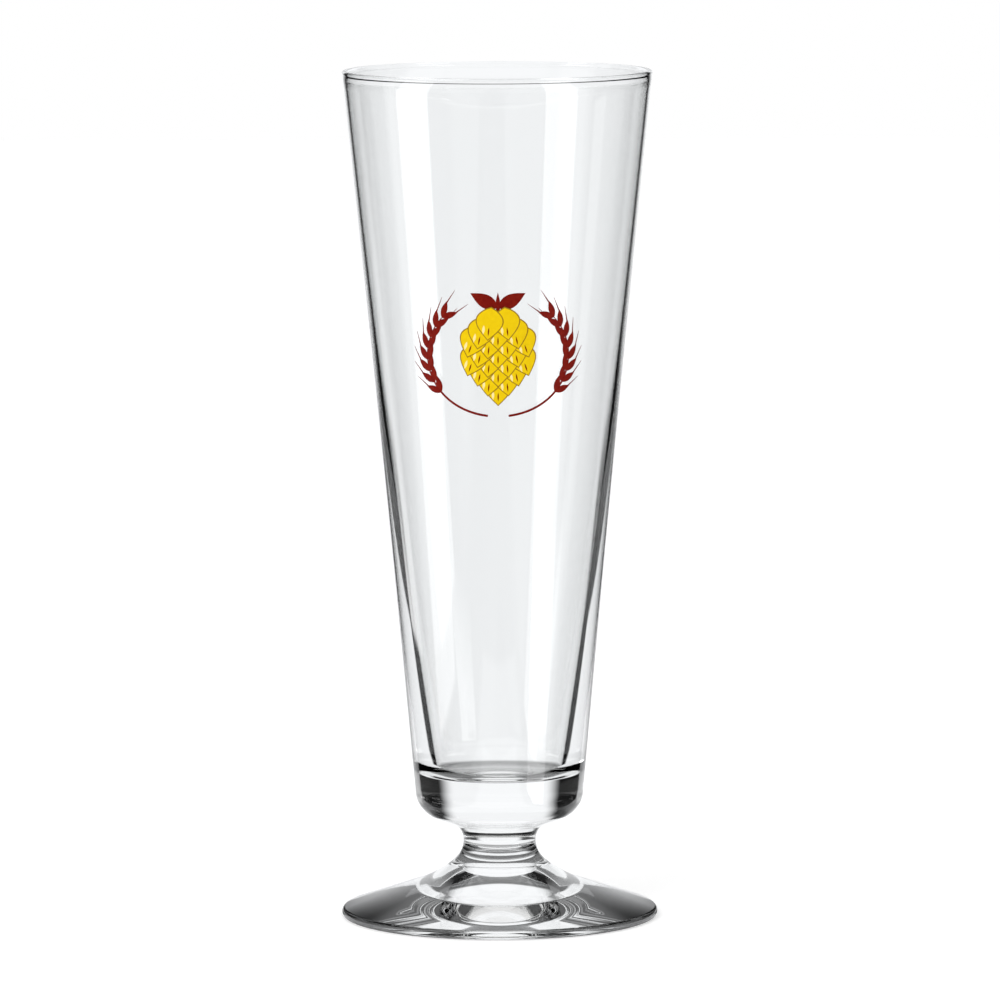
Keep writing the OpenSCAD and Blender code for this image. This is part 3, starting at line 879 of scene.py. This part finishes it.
def floor_material():
    """A pale floor that keeps the shadow. Glass sees a white sheet on it that widens to the back,
    painted shade under the foot and close behind it, a painted pool of light in the middle under
    the foot, black table beside it, and past the table the surroundings."""
    made, tree, shader = new_material("pale_floor")
    shader.inputs["Base Color"].default_value = FLOOR_TONE
    shader.inputs["Roughness"].default_value = FLOOR_ROUGHNESS
    shader.inputs["Emission Color"].default_value = (1, 1, 1, 1)
    shader.inputs["Emission Strength"].default_value = FLOOR_GLOW
    spot = place(tree, "ShaderNodeTexCoord").outputs["Object"]
    apart = place(tree, "ShaderNodeSeparateXYZ", {0: spot}).outputs
    aside = sum_of(tree, "ABSOLUTE", apart[0])
    behind = sum_of(tree, "MAXIMUM", apart[1], 0.0)
    half_sheet = sum_of(tree, "MINIMUM", SHEET_WIDEST,
                        sum_of(tree, "MULTIPLY_ADD", behind, SHEET_SPREAD, SHEET_HALF))
    from_middle = place(tree, "ShaderNodeVectorMath", {0: spot}, operation="LENGTH").outputs["Value"]
    before = sum_of(tree, "SUBTRACT", SHEET_FRONT, apart[1])
    beyond = sum_of(tree, "MAXIMUM", before,
                    sum_of(tree, "MINIMUM", sum_of(tree, "SUBTRACT", aside, half_sheet),
                           sum_of(tree, "SUBTRACT", from_middle, SHEET_NEAR)))
    off_sheet = place(tree, "ShaderNodeMapRange", {
        "Value": beyond, "From Min": 0.0, "From Max": SHEET_EDGE, "To Min": 1.0,
        "To Max": ROOM_LEVEL}, interpolation_type="SMOOTHSTEP")
    off_sheet.label = "sheet edge"
    # Painted shade close behind the foot, on the floor as only the glass sees it
    open_light = place(tree, "ShaderNodeMapRange", {
        "Value": from_middle, "From Min": FOOT_R, "From Max": FOOT_R + PAINTED_SHADE_W,
        "To Min": PAINTED_SHADE_LEVEL, "To Max": 1.0}, interpolation_type="SMOOTHSTEP")
    open_light.label = "shade behind the foot"
    # Painted light: a bright pool in the middle under the foot, with painted shade round it out to
    # the foot's edge
    painted_light = place(tree, "ShaderNodeMapRange", {
        "Value": from_middle, "From Min": PAINTED_LIGHT_R, "From Max": PAINTED_LIGHT_R + PAINTED_LIGHT_FADE,
        "To Min": 1.0, "To Max": PAINTED_SHADE_LEVEL}, interpolation_type="SMOOTHSTEP")
    painted_light.label = "light that the glass throws under itself"
    in_front = sum_of(tree, "MULTIPLY", sum_of(tree, "LESS_THAN", apart[1], 0.0),
                      sum_of(tree, "GREATER_THAN", from_middle, FOOT_R))
    near = sum_of(tree, "MAXIMUM", in_front,
                  sum_of(tree, "MAXIMUM", open_light.outputs[0], painted_light.outputs[0]))
    lit = sum_of(tree, "MULTIPLY", off_sheet.outputs[0], near)
    past = place(tree, "ShaderNodeMapRange", {
        "Value": aside, "From Min": TABLE_HALF - TABLE_EDGE_HALF,
        "From Max": TABLE_HALF + TABLE_EDGE_HALF}, interpolation_type="SMOOTHSTEP")
    past.label = "table edge"
    corner = sum_of(tree, "MINIMUM", sum_of(tree, "SUBTRACT", apart[0], CORNER_X),
                    sum_of(tree, "SUBTRACT", CORNER_Y, apart[1]))
    cut_away = sum_of(tree, "GREATER_THAN", corner, 0.0)
    off_table = sum_of(tree, "MAXIMUM", past.outputs[0], cut_away)
    table = place(tree, "ShaderNodeEmission", {"Color": COOL_WHITE, "Strength": lit})
    clear = place(tree, "ShaderNodeBsdfTransparent")
    seen = place(tree, "ShaderNodeMixShader", {0: off_table, 1: table.outputs[0],
                                               2: clear.outputs[0]})
    path = place(tree, "ShaderNodeLightPath").outputs
    by_glass = sum_of(tree, "MAXIMUM", path["Is Glossy Ray"], path["Is Transmission Ray"])
    chosen = place(tree, "ShaderNodeMixShader", {0: by_glass, 1: shader.outputs[0],
                                                 2: seen.outputs[0]})
    out = tree.nodes["Material Output"]
    tree.links.new(chosen.outputs[0], out.inputs["Surface"])
    return made


def card_material():
    """A lit white card whose sides and top fade out. It is narrower behind the foot and stem."""
    made, tree, _ = new_material("white_card")
    spot = place(tree, "ShaderNodeTexCoord").outputs["Object"]
    apart = place(tree, "ShaderNodeSeparateXYZ", {0: spot}).outputs
    wide = place(tree, "ShaderNodeMapRange", {
        "Value": apart[2], "From Min": CARD_WIDENS_FROM, "From Max": CARD_WIDENS_TO,
        "To Max": CARD_WIDER}, interpolation_type="SMOOTHSTEP")
    wide.label = "wider behind the bowl"
    cut_corner = sum_of(tree, "MULTIPLY", sum_of(tree, "MAXIMUM", sum_of(
        tree, "SUBTRACT", CARD_CORNER_H, apart[2]), 0.0), CARD_CORNER_CUT)
    aside = sum_of(tree, "ADD", cut_corner, sum_of(
        tree, "SUBTRACT", sum_of(tree, "ABSOLUTE", apart[0]), wide.outputs[0]))
    side = place(tree, "ShaderNodeMapRange", {
        "Value": aside, "From Min": CARD_HALF - CARD_FADE, "From Max": CARD_HALF},
        interpolation_type="SMOOTHSTEP")
    side.label = "card side"
    top = place(tree, "ShaderNodeMapRange", {
        "Value": apart[2], "From Min": CARD_TOP - CARD_FADE, "From Max": CARD_TOP},
        interpolation_type="SMOOTHSTEP")
    top.label = "card top"
    gone = sum_of(tree, "MAXIMUM", side.outputs[0], top.outputs[0])
    lit = place(tree, "ShaderNodeEmission", {"Color": COOL_WHITE, "Strength": 1.0})
    lit.label = "card light"
    clear = place(tree, "ShaderNodeBsdfTransparent")
    mixed = place(tree, "ShaderNodeMixShader", {0: gone, 1: lit.outputs[0], 2: clear.outputs[0]})
    tree.links.new(mixed.outputs[0], tree.nodes["Material Output"].inputs["Surface"])
    return made


def make_card():
    """The card stands close behind the glass, and only glass sees it."""
    mesh = bpy.data.meshes.new("card")
    half = CARD_HALF + CARD_WIDER
    corners = [(-half, CARD_BACK, 0), (half, CARD_BACK, 0),
               (half, CARD_BACK, CARD_TOP), (-half, CARD_BACK, CARD_TOP)]
    mesh.from_pydata(corners, [], [(0, 1, 2, 3)])
    mesh.materials.append(card_material())
    card = bpy.data.objects.new("card", mesh)
    card.visible_camera = False
    card.visible_diffuse = False
    card.visible_shadow = False
    bpy.context.scene.collection.objects.link(card)


def make_floor():
    """The floor lies a hair below the foot."""
    mesh = bpy.data.meshes.new("floor")
    half = FLOOR_HALF
    corners = [(-half, -half, -FLOOR_DROP), (half, -half, -FLOOR_DROP),
               (half, half, -FLOOR_DROP), (-half, half, -FLOOR_DROP)]
    mesh.from_pydata(corners, [], [(0, 1, 2, 3)])
    mesh.materials.append(floor_material())
    floor = bpy.data.objects.new("floor", mesh)
    bpy.context.scene.collection.objects.link(floor)


def panel_group():
    """The light from a direction once a soft-edged panel is laid over what is behind it. In
    degrees; azimuth 0 is +Y and 90 is +X."""
    tree, inside, out = new_group("Studio panel", "ShaderNodeTree", [
        ("Azimuth", "NodeSocketFloat", 0.0), ("Elevation", "NodeSocketFloat", 0.0),
        ("Panel azimuth", "NodeSocketFloat", 0.0), ("Half width", "NodeSocketFloat", 10.0),
        ("Side softness", "NodeSocketFloat", 2.0),
        ("Lowest", "NodeSocketFloat", -90.0), ("Highest", "NodeSocketFloat", 90.0),
        ("End softness", "NodeSocketFloat", 4.0), ("Brightness", "NodeSocketFloat", 1.0),
        ("Light behind", "NodeSocketFloat", 0.0),
    ], [("Light", "NodeSocketFloat")])
    given = inside.outputs
    off = sum_of(tree, "WRAP", sum_of(tree, "SUBTRACT", given["Azimuth"], given["Panel azimuth"]),
                 180.0, -180.0)

    def soft_step(value, start, width):
        return place(tree, "ShaderNodeMapRange", {
            "Value": value, "From Min": start, "From Max": sum_of(tree, "ADD", start, width),
            "To Min": 0.0, "To Max": 1.0}, interpolation_type="SMOOTHSTEP").outputs[0]

    over = soft_step(sum_of(tree, "ABSOLUTE", off), given["Half width"], given["Side softness"])
    side = sum_of(tree, "SUBTRACT", 1.0, over)
    above = soft_step(given["Elevation"], given["Lowest"], given["End softness"])
    below = sum_of(tree, "SUBTRACT", 1.0,
                   soft_step(given["Elevation"], given["Highest"], given["End softness"]))
    cover = sum_of(tree, "MULTIPLY", sum_of(tree, "MULTIPLY", side, above), below)
    gain = sum_of(tree, "SUBTRACT", given["Brightness"], given["Light behind"])
    light = sum_of(tree, "MULTIPLY_ADD", cover, gain, given["Light behind"])
    tree.links.new(light, out.inputs[0])
    return tree


def make_world():
    """White to the camera, a plain even level for the enamel and the floor, and for the glass
    the lit panels of a studio that is otherwise nearly dark."""
    world = bpy.data.worlds.new("studio")
    bpy.context.scene.world = world
    world.use_nodes = True
    tree = world.node_tree
    tree.nodes.clear()
    way = place(tree, "ShaderNodeTexCoord").outputs["Generated"]
    apart = place(tree, "ShaderNodeSeparateXYZ", {0: way}).outputs
    azimuth = sum_of(tree, "DEGREES", sum_of(tree, "ARCTAN2", apart[0], apart[1]))
    elevation = sum_of(tree, "DEGREES", sum_of(tree, "ARCSINE", apart[2]))
    group = panel_group()

    def lit_by(panels):
        """The light from each direction, one panel laid over the next."""
        light = ROOM_LEVEL
        for name, middle, half, side, lowest, highest, brightness in panels:
            panel = place(tree, "ShaderNodeGroup", {
                "Azimuth": azimuth, "Elevation": elevation, "Light behind": light,
                "Panel azimuth": middle, "Half width": half, "Side softness": side,
                "Lowest": lowest, "Highest": highest, "Brightness": brightness,
            }, node_tree=group, label=name)
            light = panel.outputs[0]
        return light

    path = place(tree, "ShaderNodeLightPath").outputs
    through = lit_by(SEEN_THROUGH)
    mirrored = lit_by(STANDING)
    plain, by_mirror, by_glass, by_camera = [
        place(tree, "ShaderNodeBackground", {"Color": (1, 1, 1, 1), "Strength": level}).outputs[0]
        for level in (PLAIN_LEVEL, mirrored, through, 1.0)]
    glossy = place(tree, "ShaderNodeMixShader", {0: path["Is Glossy Ray"], 1: plain, 2: by_mirror})
    clear = place(tree, "ShaderNodeMixShader", {
        0: path["Is Transmission Ray"], 1: glossy.outputs[0], 2: by_glass})
    seen = place(tree, "ShaderNodeMixShader", {
        0: path["Is Camera Ray"], 1: clear.outputs[0], 2: by_camera})
    out = place(tree, "ShaderNodeOutputWorld")
    tree.links.new(seen.outputs[0], out.inputs["Surface"])


def make_lamp(name, spot, aim, size, power):
    """A soft lamp that lights the enamel and the floor, and isn't seen in the glass."""
    lamp = bpy.data.lights.new(name, "AREA")
    lamp.shape = "DISK"
    lamp.size = size
    lamp.energy = power
    held = bpy.data.objects.new(name, lamp)
    held.location = spot
    held.rotation_mode = "QUATERNION"
    held.rotation_quaternion = (Vector(aim) - Vector(spot)).to_track_quat("-Z", "Y")
    held.visible_glossy = False
    held.visible_transmission = False
    bpy.context.scene.collection.objects.link(held)


def make_camera():
    """A long lens, a little above the rim and looking down."""
    camera = bpy.data.cameras.new("camera")
    camera.lens = CAMERA_LENS
    camera.sensor_width = CAMERA_SENSOR
    camera.shift_x = CAMERA_SHIFT_X
    camera.shift_y = CAMERA_SHIFT_Y
    camera.clip_end = CAMERA_SEES_TO
    held = bpy.data.objects.new("camera", camera)
    held.location = CAMERA_SPOT
    held.rotation_mode = "QUATERNION"
    aim = (Vector(CAMERA_AIM) - held.location).to_track_quat("-Z", "Y")
    held.rotation_quaternion = aim @ Quaternion((0, 0, 1), CAMERA_ROLL)
    bpy.context.scene.collection.objects.link(held)
    bpy.context.scene.camera = held


# Making it

bpy.context.scene.view_settings.view_transform = "Standard"
skin = glass_skin_group()
glass = clear_glass_material(skin)
joint = fused_joint_material()
turning = turning_tree()
make_bowl(turning, glass, joint)
make_stem(turning, glass, joint)
make_foot(turning, glass, joint)

fired = enamel_group()
printing = printing_tree()
make_ochre(printing, enamel_material("ochre", fired, *INKS["ochre"]))
make_yellow(printing, enamel_material("yellow", fired, *INKS["yellow"]))
make_cream(printing, enamel_material("cream", fired, *INKS["cream"]))
make_maroon(printing, enamel_material("maroon", fired, *INKS["maroon"]))
# The stamps have done their work
for stamp in [o for o in bpy.context.scene.objects if o.type == "MESH" and not o.get("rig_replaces")
              and o.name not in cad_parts]:
    bpy.data.objects.remove(stamp)

make_floor()
make_card()
make_world()
make_lamp("key", KEY_SPOT, KEY_AIM, KEY_SIZE, KEY_POWER)
make_camera()
